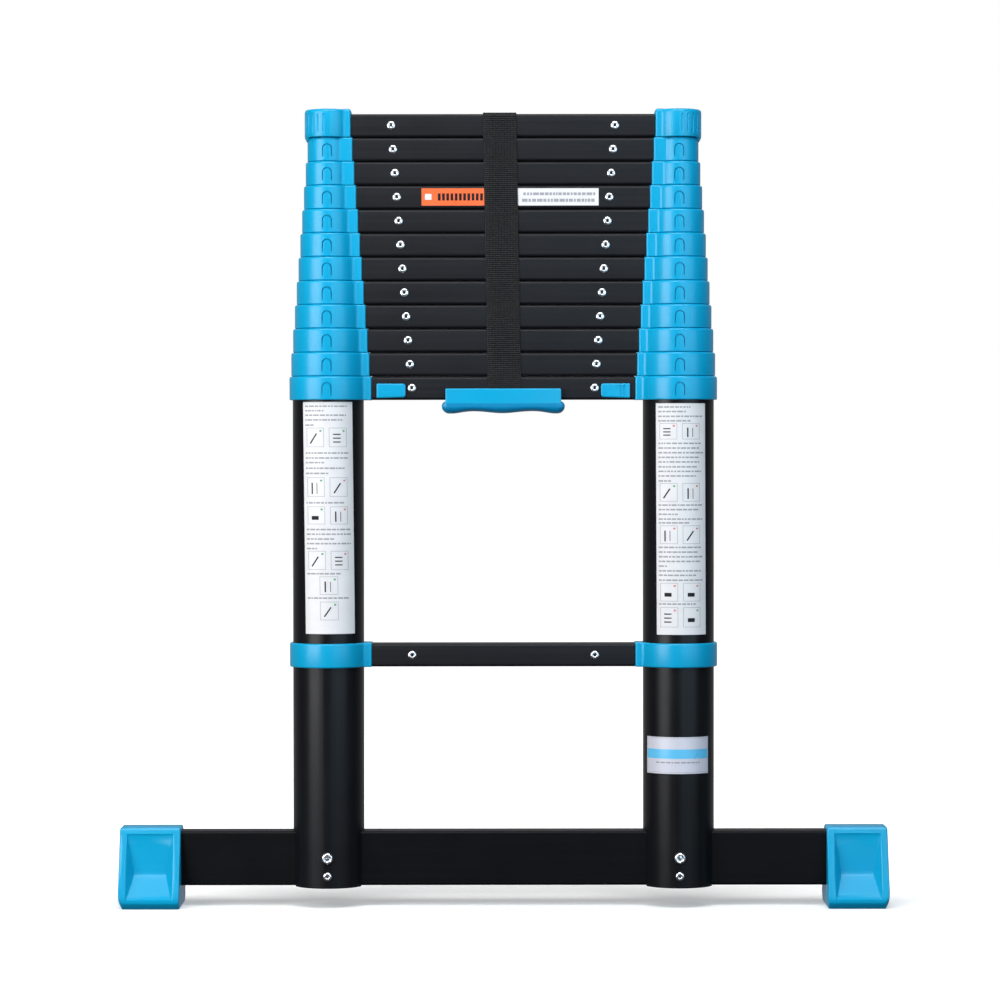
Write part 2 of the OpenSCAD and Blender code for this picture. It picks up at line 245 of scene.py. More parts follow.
class Finish:
    """One node material, built step by step."""

    def __init__(self, name, colour, roughness, metallic=0.0, specular=0.5):
        self.mat = bpy.data.materials.new(name)
        self.mat.use_nodes = True
        self.tree = self.mat.node_tree
        self.shader = self.tree.nodes["Principled BSDF"]
        self.shader.inputs["Base Color"].default_value = (*colour, 1)
        self.shader.inputs["Roughness"].default_value = roughness
        self.shader.inputs["Metallic"].default_value = metallic
        self.shader.inputs["Specular IOR Level"].default_value = specular
        self.place = self.node("ShaderNodeTexCoord").outputs["Object"]
        self.height = None

    def node(self, kind, **settings):
        node = self.tree.nodes.new(kind)
        for key, value in settings.items():
            setattr(node, key, value)
        return node

    def stretched(self, scale):
        mapping = self.node("ShaderNodeMapping")
        mapping.inputs["Scale"].default_value = scale
        self.tree.links.new(self.place, mapping.inputs["Vector"])
        return mapping.outputs["Vector"]

    def noise(self, scale, detail, stretch=None):
        node = self.node("ShaderNodeTexNoise")
        node.inputs["Scale"].default_value = scale
        node.inputs["Detail"].default_value = detail
        node.inputs["Roughness"].default_value = 0.55
        self.tree.links.new(self.stretched(stretch) if stretch else self.place, node.inputs["Vector"])
        return node.outputs["Fac"]

    def ramp(self, value, low, high, low_at=0.35, high_at=0.65):
        node = self.node("ShaderNodeMapRange")
        for key, number in (("From Min", low_at), ("From Max", high_at), ("To Min", low), ("To Max", high)):
            node.inputs[key].default_value = number
        self.tree.links.new(value, node.inputs["Value"])
        return node.outputs["Result"]

    def mix_colour(self, value, a, b):
        node = self.node("ShaderNodeMix", data_type="RGBA")
        node.inputs["A"].default_value = (*a, 1)
        node.inputs["B"].default_value = (*b, 1)
        self.tree.links.new(value, node.inputs["Factor"])
        self.tree.links.new(node.outputs["Result"], self.shader.inputs["Base Color"])
        return self

    def vary_roughness(self, value, low, high):
        self.tree.links.new(self.ramp(value, low, high), self.shader.inputs["Roughness"])
        return self

    def bump(self, value, strength, distance_mm):
        node = self.node("ShaderNodeBump")
        node.inputs["Strength"].default_value = strength
        node.inputs["Distance"].default_value = distance_mm * MM
        self.tree.links.new(value, node.inputs["Height"])
        if self.height is not None:
            self.tree.links.new(self.height, node.inputs["Normal"])
        self.height = node.outputs["Normal"]
        self.tree.links.new(self.height, self.shader.inputs["Normal"])
        return self


def shade(colour, factor):
    return tuple(min(1.0, c * factor) for c in colour)


def moulded(name, colour, roughness):
    """Injection-moulded plastic: faint flow marks, a fine grain and a soft gloss."""
    f = Finish(name, colour, roughness, specular=0.32)
    flow = f.noise(9.0, 3.0)
    f.mix_colour(f.ramp(flow, 0, 1), shade(colour, 0.975), shade(colour, 1.025))
    f.vary_roughness(f.noise(55.0, 5.0), roughness - 0.02, roughness + 0.03)
    f.bump(f.noise(14.0, 2.0), 0.12, 0.08)
    f.bump(f.noise(1600.0, 2.0), 0.12, 0.012)
    return f.mat


def anodised(name, colour, roughness, stretch, specular=0.5):
    """Black anodised aluminium with fine lines along its length."""
    f = Finish(name, colour, roughness, specular=specular)
    streak = f.noise(1.0, 5.0, stretch=stretch)
    f.mix_colour(f.ramp(streak, 0, 1), shade(colour, 0.82), shade(colour, 1.22))
    f.vary_roughness(f.noise(24.0, 3.0), roughness - 0.02, roughness + 0.03)
    f.bump(streak, 0.10, 0.02)
    f.bump(f.noise(2400.0, 2.0), 0.18, 0.010)
    return f.mat


def steel(name, colour, roughness):
    f = Finish(name, colour, roughness, metallic=1.0)
    turned = f.noise(900.0, 4.0)
    f.mix_colour(f.ramp(f.noise(140.0, 3.0), 0, 1), shade(colour, 0.86), shade(colour, 1.05))
    f.vary_roughness(turned, roughness - 0.07, roughness + 0.10)
    f.bump(turned, 0.12, 0.02)
    return f.mat


def paper(name, colour, roughness=0.32, gloss=0.5):
    """Printed film: very slightly uneven, with a clear gloss."""
    f = Finish(name, colour, roughness, specular=gloss)
    f.mix_colour(f.ramp(f.noise(60.0, 4.0), 0, 1), shade(colour, 0.97), shade(colour, 1.02))
    f.vary_roughness(f.noise(30.0, 3.0), roughness - 0.05, roughness + 0.06)
    f.bump(f.noise(26.0, 3.0), 0.3, 0.03)
    return f.mat


def webbing():
    """Woven strap: warp threads along its length over the ribs of the mesh."""
    f = Finish("webbing", (0.008, 0.008, 0.009), 0.62, specular=0.2)
    f.shader.inputs["Sheen Weight"].default_value = 0.03
    f.shader.inputs["Sheen Roughness"].default_value = 0.4
    weave = f.node("ShaderNodeTexWave", wave_type="BANDS", bands_direction="X")
    weave.inputs["Scale"].default_value = 190.0
    weave.inputs["Distortion"].default_value = 0.5
    weave.inputs["Detail"].default_value = 1.0
    f.tree.links.new(f.place, weave.inputs["Vector"])
    f.mix_colour(weave.outputs["Fac"], (0.0015, 0.0015, 0.0018), (0.0150, 0.0150, 0.0170))
    f.vary_roughness(f.noise(400.0, 3.0), 0.5, 0.75)
    f.bump(weave.outputs["Fac"], 0.5, 0.12)
    f.bump(f.noise(2600.0, 2.0), 0.4, 0.05)
    return f.mat


BLUE = moulded("blue_plastic", (0.0005, 0.298, 0.522), 0.30)
# Darker copy of the blue plastic for the grip: painted shade on its downward-facing underside.
GRIP_BLUE_PAINTED_SHADE = moulded("blue_grip_painted_shade", (0.0005, 0.190, 0.390), 0.34)
TUBE = anodised("black_tube", (0.0050, 0.0052, 0.0064), 0.30, (260.0, 260.0, 3.0), 0.2)
RUNG = anodised("satin_rung", (0.0078, 0.0081, 0.0103), 0.42, (3.0, 300.0, 300.0), 0.2)
BAR = anodised("black_bar", (0.0026, 0.0028, 0.0036), 0.42, (3.0, 260.0, 260.0), 0.12)
STEEL = steel("zinc_steel", (0.80, 0.80, 0.82), 0.24)
DARK_STEEL = steel("dark_recess", (0.10, 0.10, 0.11), 0.45)
NYLON = moulded("black_nylon", (0.018, 0.018, 0.020), 0.5)
WEB = webbing()
WHITE_FILM = paper("white_film", (0.65, 0.64, 0.65), 0.38, 0.2)
ORANGE_FILM = paper("orange_film", (0.80, 0.13, 0.035))
PALE_FILM = paper("sky_film", (0.10, 0.46, 0.74))
GREY_INK = paper("grey_ink", (0.29, 0.29, 0.31), 0.45, 0.2)
BLACK_INK = paper("black_ink", (0.014, 0.013, 0.016), 0.5, 0.12)
RED_INK = paper("red_ink", (0.60, 0.16, 0.15), 0.45, 0.3)
GREEN_INK = paper("green_ink", (0.10, 0.30, 0.12), 0.45, 0.3)
PLAIN_FILM = paper("plain_film", (0.55, 0.55, 0.62))


def refinish(node, finish):
    """Gives its finish to a CAD piece that stays in view."""
    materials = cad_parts[node].data.materials
    materials.clear()
    materials.append(finish)


refinish("leg_tubes", TUBE)
refinish("leg_inserts", NYLON)
refinish("stabiliser_bar", BAR)
refinish("lock_pin_left", STEEL)
refinish("lock_pin_right", STEEL)
for n in range(FIRST, LAST + 1):
    refinish(f"tubes_{n:02d}", TUBE)

# ------------------------------------------------------------------ collars


def collar_plan(ring_r, reach):
    """(point, outward normal, weight) round a collar's plan, about its column, with the rung at +u.

    The weight is the share of an edge's inset that the point takes.
    """
    fillet, corner, block_weight = 6.0, 2.4, 0.4
    ring_steps, fillet_steps, corner_steps = 30, 6, 4
    v_f = BLOCK_HALF + fillet
    u_f = math.sqrt((ring_r + fillet) ** 2 - v_f ** 2)
    tangent = math.degrees(math.atan2(v_f, u_f))
    half = []
    for i in range(ring_steps + 1):
        a = math.radians(180 - (180 - tangent) * i / ring_steps)
        half.append(((ring_r * math.cos(a), ring_r * math.sin(a)), (math.cos(a), math.sin(a)), 1.0))
    for i in range(1, fillet_steps + 1):
        a = math.radians(180 + tangent + (90 - tangent) * i / fillet_steps)
        half.append(((u_f + fillet * math.cos(a), v_f + fillet * math.sin(a)),
                     (-math.cos(a), -math.sin(a)), 1.0 - 0.1 * i))
    for i in range(corner_steps + 1):
        a = math.radians(90 - 90 * i / corner_steps)
        half.append(((reach - corner + corner * math.cos(a), BLOCK_HALF - corner + corner * math.sin(a)),
                     (math.cos(a), math.sin(a)), block_weight))
    half.append(((reach, BLOCK_HALF * 0.45), (1.0, 0.0), block_weight))
    half.append(((reach, 0.0), (1.0, 0.0), block_weight))
    back = [((u, -v), (nu, -nv), w) for (u, v), (nu, nv), w in half[-2:0:-1]]
    return half + back


def collar_loops(plan, outer, inner):
    """Loops of a collar on the right-hand column. outer is (inset, z) and inner is (radius, z)."""
    loops = []
    for inset, z in outer:
        loops.append([(COLUMN_X - (u - nu * inset * w), v - nv * inset * w, z)
                      for (u, v), (nu, nv), w in plan])
    for r, z in inner:
        loop = []
        for (u, v), _, _ in plan:
            d = math.hypot(u, v)
            loop.append((COLUMN_X - u / d * r, v / d * r, z))
        loops.append(loop)
    return loops


def edge_round(z0, z1, low=1.1, high_in=1.9, high_z=2.6):
    """Outer profile of a collar, with a small round below and a larger one above."""
    outer = [(low * (1 - math.sin(math.radians(a))), z0 + low * (1 - math.cos(math.radians(a))))
             for a in (0, 22.5, 45, 67.5, 90)]
    outer += [(high_in * (1 - math.cos(math.radians(a))), z1 - high_z * (1 - math.sin(math.radians(a))))
              for a in (0, 18, 36, 54, 72, 90)]
    return outer


def arch_tool(x, front_y, top_z):
    """Cutter for the arch-shaped slit on the front of a collar."""
    half, leg, gap, depth = 4.9, 8.5, 0.55, 2.3
    inner, outer = half - gap, half + gap
    cz = top_z - half
    path_out = [(outer, cz - leg)] + arc(0, cz, outer, 0, 180, 16) + [(-outer, cz - leg)]
    path_in = [(-inner, cz - leg)] + arc(0, cz, inner, 180, 0, 16) + [(inner, cz - leg)]
    outline = path_out + path_in
    tool = Shell()
    tool.slab([(x + px, pz) for px, pz in outline], front_y - 2.0, front_y + depth)
    return tool


def stack_collar(n):
    """Pair of collars of rung n. Rung 1 has plain clamps; the others have a slit, a bore and a lip above."""
    z0 = CLAMP_Z if n == 1 else collar_z(n)
    z1 = z0 + (CLAMP_H if n == 1 else COLLAR_H)
    r = tube_r(max(n, 2))
    fit, entry = r + COLLAR_FIT, r + COLLAR_ENTRY
    plan = collar_plan(r + COLLAR_WALL, r + BLOCK_REACH - 0.1)
    if n == 1:
        outer = edge_round(z0, z1, 1.6, 1.6, 2.0)
        inner = [(entry, z1), (fit, z1 - 0.6), (fit, z0 + 0.6), (entry, z0)]
    else:
        lip = tube_r(n + 1) + 0.42
        outer = edge_round(z0, z1)
        inner = [(lip + 0.4, z1), (lip, z1 - 0.5), (lip, z1 - LIP_H), (fit, z1 - LIP_H)]
        inner += [(fit, z0 + 0.5), (entry, z0)]
    shell = Shell()
    shell.loft(collar_loops(plan, outer, inner), wrap=True)
    obj = piece(f"collar_pair_{n:02d}", shell.mirrored(), [BLUE], body_of_rung(n),
                [f"collars_{n:02d}"], sharp=40)
    if n > 1:
        arch_drop, bore_start, bore_len = 7.2, rung_end(n) - 8, 30
        tool = arch_tool(COLUMN_X, -r - COLLAR_WALL, z1 - arch_drop)
        tool.lathe([(0, 0), (PIN_BORE_R, 0), (PIN_BORE_R, bore_len), (0, bore_len)],
                   along_x(bore_start, mid_z(n)), 32)
        carve(obj, tool.mirrored(), sharp=40)


def cap_flutes(z0, z1):
    """Cutters for the flutes on the front and the back of a cap, from z0 up to z1."""
    flutes, w, gap_degrees = Shell(), 1.15, 15
    rings = [(0.3, z0), (0.8, z0 + 0.5), (1.0, z0 + w), (1.0, z1 - w), (0.8, z1 - 0.5), (0.3, z1)]
    for side in (1, -1):
        for k in range(5):
            a = math.radians(8 + gap_degrees * k)
            x, y = COLUMN_X + (CAP_R + 0.35) * math.sin(a), -side * (CAP_R + 0.35) * math.cos(a)
            flutes.loft([[(x + w * s * math.cos(t), y + w * s * math.sin(t), z)
                          for t in [2 * math.pi * i / 12 for i in range(12)]] for s, z in rings])
    return flutes


def cap_lip(z0):
    """Lip on the outer side of a cap, which hangs over the collar below and fades out at both ends."""
    lip, half_angle, half_steps, r0, r1 = Shell(), 32, 8, 22.6, CAP_R - 0.05
    loops = []
    for i in range(2 * half_steps + 1):
        a = math.radians(-half_angle + 2 * half_angle * i / (2 * half_steps))
        fade = math.cos(math.radians(90 * abs(i - half_steps) / half_steps)) ** 0.5
        drop = 0.4 + 4.2 * fade
        section = [(r0, z0 + 1.2), (r1, z0 + 1.2), (r1 - 0.15, z0 - 0.5 * fade), (r0 + 0.35, z0 - drop),
                   (r0, z0 - drop)]
        loops.append([(COLUMN_X + q * math.cos(a), q * math.sin(a), z) for q, z in section])
    lip.loft(loops)
    return lip


def top_cap():
    z0 = collar_z(LAST) + 0.3
    z1 = z0 + CAP_H
    r = tube_r(LAST)
    plan = collar_plan(CAP_R, r + BLOCK_REACH - 0.1)
    outer = [(1.0, z0), (0.3, z0 + 0.3), (0.0, z0 + 1.0), (0.0, z1 - 4.2), (0.12, z1 - 3.0), (0.5, z1 - 1.9),
             (1.2, z1 - 1.1), (2.4, z1 - 0.55), (4.5, z1 - 0.25), (8.0, z1 - 0.08), (12.0, z1 - 0.02)]
    inner = [(r + COLLAR_FIT, z1 - 5.0), (r + COLLAR_FIT, z0 + 0.5), (r + COLLAR_ENTRY, z0)]
    shell = Shell()
    shell.loft(collar_loops(plan, [], inner) + collar_loops(plan, outer, [(4.0, z1)]))
    obj = piece("cap_pair", shell.mirrored(), [BLUE], body_of_rung(LAST),
                [f"collars_{LAST:02d}"], sharp=40)
    carve(obj, cap_flutes(z0 + 4.5, z1 - 5.5).mirrored(), sharp=40)
    carve(obj, cap_lip(z0).mirrored(), "UNION", sharp=40)


for n in range(1, LAST):
    stack_collar(n)
top_cap()

# ------------------------------------------------------------------ rungs


def rung_section(ridge):
    """Outline of a rung in (y, z), with anti-slip grooves along its tread and a raised rib between them."""
    top, side, corner = RUNG_H / 2, RUNG_HALF_D, 3
    pitch, width, depth, slope = 4.3, 1.5, 0.55, 0.25
    outline = arc(side - corner, top - corner, corner, 0, 90, 6)
    for k in (3, 2, 1, -1, -2, -3):
        y = k * pitch
        outline += [(y + width / 2, top), (y + width / 2 - slope, top - depth),
                    (y - width / 2 + slope, top - depth), (y - width / 2, top)]
        if k == 1:
            outline += [(1.9, top), (1.5, top + ridge), (-1.5, top + ridge), (-1.9, top)]
    outline += arc(-side + corner, top - corner, corner, 90, 180, 6)
    outline += arc(-side + corner, -top + corner, corner, 180, 270, 6)
    outline += arc(side - corner, -top + corner, corner, 270, 360, 6)
    return outline


def inner_section(outline):
    """Matching outline of a rung's inside."""
    points = []
    for y, z in outline:
        iy = max(-RUNG_HALF_D + RUNG_WALL, min(RUNG_HALF_D - RUNG_WALL, y * 0.93))
        iz = max(-RUNG_H / 2 + RUNG_WALL, min(RUNG_H / 2 - RUNG_WALL - 0.4, z * 0.87))
        points.append((iy, iz))
    return points


def rung(n):
    """Hollow rung. Its rib closes the gap to the rung above, so the top rung's is almost flat."""
    outer = rung_section(0.7 if n < LAST else 0.02)
    inner = inner_section(outer)
    end = rung_end(n) - 0.02
    z = mid_z(n)
    shell = Shell()
    shell.loft([[(-end, y, z + dz) for y, dz in outer], [(end, y, z + dz) for y, dz in outer],
                [(end, y, z + dz) for y, dz in inner], [(-end, y, z + dz) for y, dz in inner]], wrap=True)
    piece(f"rung_bar_{n:02d}", shell, [RUNG], body_of_rung(n), [f"rung_{n:02d}"], sharp=25)


for n in range(1, LAST + 1):
    rung(n)

# ------------------------------------------------------------------ fasteners


def facing(x, y, z, side=-1):
    """Placement of a turned part whose axis points along Y, out of the front (-1) or the back (+1)."""
    return lambda u, v, h: (x + u, y + side * h, z + v)


# Turned profiles: (radius, height)
RIVET = [(0, -1.9), (1.2, -1.9), (1.38, -1.6), (1.38, 0.75), (1.62, 1.12), (2.1, 1.42), (2.9, 1.5),
         (3.7, 1.28), (4.35, 0.86), (4.75, 0.40), (4.9, 0.05), (4.8, -0.08), (2.4, -0.1), (2.4, -7.0),
         (0, -7.0)]
RIVET_CORE = [(0, -1.2), (1.25, -1.2), (1.25, -0.55), (0.7, -0.25), (0, -0.2)]
BOLT = [(0, 1.55), (1.1, 1.5), (2.2, 1.1), (2.9, 1.15), (3.3, 2.6), (3.7, 3.3), (4.4, 3.45), (5.2, 3.15),
        (5.9, 2.5), (6.4, 1.6), (6.5, 0.7), (6.5, -0.7), (4.0, -0.8), (4.0, -20.0), (0, -20.0)]
NUT = [(0, 0.1), (4.3, 0.1), (6.9, 0.15), (7.6, 0.5), (7.6, 2.5), (6.3, 3.1), (4.4, 3.1), (4.15, 2.7),
       (0, 2.7)]
BOLT_END = [(0, -20), (3.9, -20), (3.9, 2.3), (3.5, 2.9), (0, 3.0)]


def add_rivet(shell, x, y, z, side):
    """Blind rivet with a dark core."""
    shell.lathe(RIVET, facing(x, y, z, side), 36)
    shell.lathe(RIVET_CORE, facing(x, y, z, side), 20, slot=1)


def rung_rivets(shell, n):
    for side in (-1, 1):
        add_rivet(shell, rung_end(n) - RIVET_INSET, side * (RUNG_HALF_D + 0.05), mid_z(n), side)


def add_spring(shell, x0, length, z):
    """Coil spring along X. Its wire is six-sided."""
    turns, wire, r = 8, 0.6, PIN_HEAD_R - 0.65
    steps = turns * 20
    round_wire = [math.pi * k / 3 for k in range(6)]
    loops = []
    for i in range(steps + 1):
        a = 2 * math.pi * turns * i / steps
        rise = length * (0.04 + 0.92 * i / steps)
        cy, cz = math.cos(a), math.sin(a)
        loops.append([(x0 + rise + wire * math.sin(t), (r + wire * math.cos(t)) * cy,
                       z + (r + wire * math.cos(t)) * cz) for t in round_wire])
    shell.loft(loops)


def pin_start(n):
    """Where the head of a lock pin starts at rest."""
    return COLUMN_X - tube_r(n) - PIN_CLEAR - PIN_LEN - PIN_HEAD_LEN


def add_pin_spring(shell, n):
    add_spring(shell, pin_start(n) - SPRING_LEN, SPRING_LEN, mid_z(n))


def add_pin(shell, n):
    neck, end = PIN_HEAD_LEN, PIN_LEN + PIN_HEAD_LEN
    profile = [(0, 0), (PIN_HEAD_R - 0.5, 0), (PIN_HEAD_R, 0.5), (PIN_HEAD_R, neck - 0.4),
               (PIN_HEAD_R - 0.4, neck), (PIN_R, neck), (PIN_R, end - 1.2), (PIN_R - 0.4, end - 0.3),
               (PIN_R - 1, end), (0, end)]
    shell.lathe(profile, along_x(pin_start(n), mid_z(n)), 32)


def hexagon(first, last):
    """Shape factor that makes the loops from first to last six-sided."""
    def factor(k, a):
        if not first <= k <= last:
            return 1.0
        step = math.pi / 3
        return math.cos(step / 2) / math.cos((a % step) - step / 2)
    return factor


def base_hardware():
    """Fasteners of the fixed part. The bolt and the nut have six-sided middles."""
    shell = Shell()
    for n in (1, 2):
        rung_rivets(shell, n)
    add_pin_spring(shell, 2)
    add_rivet(shell, COLUMN_X, -LEG_R, BAR_RIVET_Z, -1)
    shell.lathe(BOLT, facing(COLUMN_X, -LEG_R, BOLT_Z), 48, shape=hexagon(2, 3))
    shell.lathe(NUT, facing(COLUMN_X, LEG_R, BOLT_Z, 1), 48, shape=hexagon(2, 3))
    shell.lathe(BOLT_END, facing(COLUMN_X, LEG_R, BOLT_Z, 1), 32)
    piece("base_hardware", shell.mirrored(), [STEEL, DARK_STEEL], "base", ["base_fasteners"])


def section_hardware(n):
    shell = Shell()
    rung_rivets(shell, n)
    if n < LAST:
        add_pin(shell, n)
        add_pin_spring(shell, n)
    piece(f"hardware_set_{n:02d}", shell.mirrored(), [STEEL, DARK_STEEL], body_of_rung(n),
          [f"hardware_{n:02d}"])


base_hardware()
for n in range(FIRST, LAST + 1):
    section_hardware(n)

# ------------------------------------------------------------------ feet


def polyline(points, t):
    """Value at t on (t, value) points in falling order of t."""
    for (t0, v0), (t1, v1) in zip(points, points[1:]):
        if t >= t1:
            return v0 + (v1 - v0) * (t0 - t) / (t0 - t1)
    return points[-1][1]


# Half depth of a foot at falling heights: (height, half depth) of its outside and of its sunken panel
FOOT_SHAPE = [(87.0, 16.6), (86.4, 18.0), (85.2, 18.9), (83.0, 19.7), (16.0, 42.0), (12.6, 42.8),
              (10.6, 43.0), (7.6, 43.0), (6.2, 42.5), (0.9, 37.9), (0.35, 37.3), (0.0, 36.2)]
FOOT_PANEL = [(80.6, 20.6), (79.6, 20.0), (78.4, 19.7), (37.5, 20.6), (35.6, 21.2), (34.0, 22.4),
              (14.0, 39.6), (12.2, 41.3), (10.8, 42.9)]
FOOT_LEVELS = [87.0, 86.4, 85.2, 83.0, 80.6, 79.6, 78.4, 72.0, 64.0, 56.0, 48.0, 40.0, 37.5, 35.6, 34.0,
               28.0, 22.0, 16.0, 14.0, 12.6, 10.8, 7.6, 6.2, 3.5, 0.9, 0.35, 0.0]
FOOT_MID_Z = 44


def foot_half(z, recessed):
    full = polyline(FOOT_SHAPE, z)
    if recessed and FOOT_PANEL[-1][0] <= z <= FOOT_PANEL[0][0]:
        return min(full, polyline(FOOT_PANEL, z))
    return full


def foot_loop(x, shrink=0.0, recess=0.0, side=1.0, chamfer=0.0):
    """Loop round a foot at distance x from its outer end.

    recess is 0 where flush and 1 at the sunken panel. side, 1 or -1, leans the panel's edge inwards.
    """
    front = []
    for z in FOOT_LEVELS:
        full, panel = foot_half(z, False), foot_half(z, True)
        depth = full - panel
        y = full - depth * recess - shrink
        zz = z if z > FOOT_MID_Z else max(z, chamfer + z * (FOOT_MID_Z - chamfer) / FOOT_MID_Z)
        zz = FOOT_MID_Z + (zz - FOOT_MID_Z) * (1 - shrink / FOOT_MID_Z)
        front.append((FOOT_END_X - x - side * depth * 0.5 * recess, -y, zz))
    return front + [(px, -py, pz) for px, py, pz in front[::-1]]


def foot(name, sign, node):
    rib, w = FOOT_RIB, FOOT_W
    loops = [foot_loop(0.0, 2.2, chamfer=7.5), foot_loop(0.25, 1.2, chamfer=7.0),
             foot_loop(0.8, 0.45, chamfer=6.0), foot_loop(1.8, 0.0, chamfer=4.2), foot_loop(4.2)]
    loops += [foot_loop(rib - 1.2), foot_loop(rib - 0.5, recess=0.03), foot_loop(rib - 0.1, recess=0.10),
              foot_loop(rib + 0.2, recess=0.9), foot_loop(rib + 0.6, recess=1.0)]
    loops.append(foot_loop(w / 2, recess=1.0, side=0.0))
    loops += [foot_loop(w - rib - 0.6, recess=1.0, side=-1), foot_loop(w - rib - 0.2, recess=0.9, side=-1),
              foot_loop(w - rib + 0.1, recess=0.10, side=-1), foot_loop(w - rib + 0.5, recess=0.03, side=-1)]
    loops += [foot_loop(w - rib + 1.2), foot_loop(w - 1.6), foot_loop(w - 0.7, 0.4), foot_loop(w - 0.2, 1.1),
              foot_loop(w, 2.0)]
    shell = Shell()
    shell.loft([[(sign * x, y, z) for x, y, z in loop] for loop in loops])
    obj = piece(name, shell, [BLUE], "base", [node], sharp=28)
    socket_end = 403.3
    hole = Shell()
    hole.rail(round_rect(30.4, BAR_H + 0.4, 3.1, 6, 0.0, BAR_Z + BAR_H / 2),
              sign * (FOOT_END_X - FOOT_W - 2), sign * socket_end)
    carve(obj, hole, sharp=28)
    treads, tread_pitch = Shell(), 8.0
    for k in range(-4, 5):
        y = k * tread_pitch
        treads.rail([(y - 1.3, -1.0), (y + 1.3, -1.0), (y + 0.9, 1.3), (y - 0.9, 1.3)],
                    sign * (FOOT_END_X - 9), sign * (FOOT_END_X - FOOT_W + 6))
    carve(obj, treads, sharp=28)


foot("foot_boot_right", 1, "foot_right")
foot("foot_boot_left", -1, "foot_left")

# ------------------------------------------------------------------ handle


def grip_depth(x):
    """How far the grip hangs below the plate: three finger swells of (middle, spread, height)."""
    swells = ((-57, 15, 3.0), (-1, 21, 2.6), (57.5, 15, 3.0))
    return 11.0 + sum(math.exp(-((x - c) / spread) ** 2) * h for c, spread, h in swells)


def grip_section(x):
    """Loop round the grip at x: a flat top, a full front and back, and a round underside."""
    half, end_r, upper = GRIP_W / 2, 7.0, 6.0
    e = min(1.0, (half - abs(x)) / end_r)
    k = 0.12 + 0.88 * (math.sqrt(max(0.0, 1 - (1 - e) ** 2)) if e < 1 else 1.0)
    centre_z = PLATE_Z - 0.05 - upper
    below = grip_depth(x) * k - upper * k
    section = []
    for i in range(28):
        a = 2 * math.pi * i / 28
        c, s = math.cos(a), math.sin(a)
        across = math.copysign(abs(c) ** (0.6 if s > 0 else 1.0), c)
        y = PLATE_FRONT_Y + GRIP_D / 2 * (1 + (0.55 + 0.45 * k) * across)
        z = centre_z + (upper * k * abs(s) ** 0.35 if s > 0 else -below * abs(s) ** 0.95)
        section.append((x, y, z))
    return section


def handle():
    """Grip with a plate above it, and pads between the plate and the rung."""
    ends = [GRIP_W / 2 * share for share in (1, 0.996, 0.985, 0.965, 0.935, 0.90)]
    xs = [-x for x in ends] + list(range(-57, 58, 3)) + ends[::-1]
    shell = Shell()
    shell.loft([grip_section(x) for x in xs])
    obj = piece("handle_body", shell, [GRIP_BLUE_PAINTED_SHADE], "base", ["carry_handle"], sharp=45)
    plate = Shell()
    pw, z0, z1 = PLATE_W / 2, PLATE_Z - 3.0, PLATE_Z + PLATE_H
    outline = arc(pw - 1.6, z1 - 1.6, 1.6, 0, 90, 4) + arc(-pw + 1.0, z1 - 1.0, 1.0, 90, 180, 4)
    outline += [(-pw, z0), (pw, z0)]
    rings = []
    for inset, depth in ((0.0, PLATE_T), (0.0, 1.0), (0.25, 0.4), (0.7, 0.1), (1.3, 0.0)):
        rings.append([(x - math.copysign(inset, x), PLATE_FRONT_Y + depth, z - (inset if z > z0 + 1 else 0))
                      for x, z in outline])
    plate.loft(rings)
    carve(obj, plate, "UNION", sharp=40)
    pads, pad_w = Shell(), 30.0
    for x0 in (-pw + 0.6, pw - 0.6 - pad_w):
        pads.slab(round_rect(pad_w, PLATE_H - 2.4, 1.2, 3, x0 + pad_w / 2, PLATE_Z + PLATE_H / 2 - 0.4),
                  PLATE_FRONT_Y + PLATE_T - 0.5, -RUNG_HALF_D - 0.05)
    carve(obj, pads, "UNION", sharp=40)
    # Faces below PLATE_Z keep the darker grip blue, a painted shade; the faces above take the plain blue.
    obj.data.materials.append(BLUE)
    for face in obj.data.polygons:
        face.material_index = int(face.center.z > PLATE_Z * MM)


handle()

# ------------------------------------------------------------------ release tabs


def release_tab(name, sign, node, body, grooved):
    """Thumb tab, a little deeper at its outer end, and the stem that draws the pin."""
    x0 = rung_end(2) - 5.4 - TAB_W
    cx, cz = x0 + TAB_W / 2, mid_z(2) - 2.5
    back = -RUNG_HALF_D - 0.3
    front = back - TAB_T
    rings = []
    for inset, y in ((0.5, back), (0.0, back - 0.5), (0.0, front + 1.2), (0.2, front + 0.6),
                     (0.6, front + 0.2), (1.3, front), (TAB_H / 2 - 0.6, front + 0.45)):
        px, pz = TAB_W / 2 - inset, TAB_H / 2 - inset
        inner, outer = max(0.4, 3.0 - inset), max(0.4, 1.0 - inset)
        outline = arc(px - outer, pz - outer, outer, 0, 90, 5)
        outline += arc(-px + inner, pz - inner, inner, 90, 180, 5)
        outline += arc(-px + inner, -pz + inner, inner, 180, 270, 5)
        outline += arc(px - outer, -pz + outer, outer, 270, 360, 5)
        rings.append([(sign * (cx + x), y, cz + z - (0.8 if x > px - 8 and z < 0 else 0))
                      for x, z in outline])
    shell = Shell()
    shell.loft(rings)
    shell.lathe([(0, 0.4), (2.2, 0.4), (2.2, -19.0), (0, -19.0)],
                facing(sign * (x0 + 18), back - 0.4, mid_z(2)), 24)
    obj = piece(name, shell, [BLUE], body, [node], sharp=35)
    if grooved:
        grooves = Shell()
        for inset in (10.0, 6.5):
            x = sign * (x0 + TAB_W - inset)
            low, high = cz - TAB_H / 2 + 1.5, cz + TAB_H / 2 - 1.5
            grooves.slab(box(x - 0.45, x + 0.45, low, high), front - 1, front + 0.9)
        carve(obj, grooves, sharp=35)


release_tab("thumb_tab_right", 1, "release_tab_right", "release_right", True)
release_tab("thumb_tab_left", -1, "release_tab_left", "release_left", False)

# ------------------------------------------------------------------ strap


